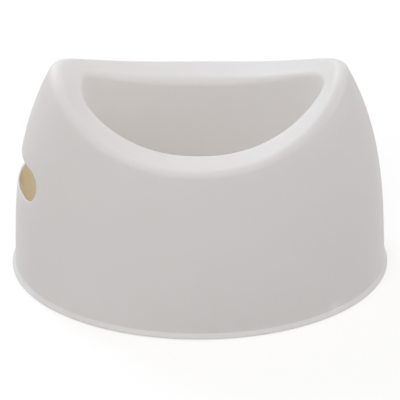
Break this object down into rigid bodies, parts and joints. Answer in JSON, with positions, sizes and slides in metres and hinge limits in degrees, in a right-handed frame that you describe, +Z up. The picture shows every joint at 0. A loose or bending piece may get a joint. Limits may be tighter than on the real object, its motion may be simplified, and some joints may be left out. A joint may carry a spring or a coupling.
{
  "type": "potty training chair",
  "caption": "One-piece moulded toddler potty with a deep bowl, a wide saddle-shaped rim, high ends, a back carrying slot and push-in rubber feet.",
  "frame": {"origin": "on the floor, under the middle of the footprint", "axes": "+X to the front of the potty, away from the carrying slot; +Y to the sitting child's left; +Z up"},
  "size_m": [0.34, 0.282, 0.201],
  "materials": {
    "moulding": "satin off-white polypropylene, smooth moulded",
    "feet": "matt soft rubber"
  },
  "bodies": {
    "root": {"potty_shell": "moulding", "foot_back_left": "feet", "foot_back_right": "feet", "foot_front_left": "feet", "foot_front_right": "feet"}
  },
  "joints": []
}
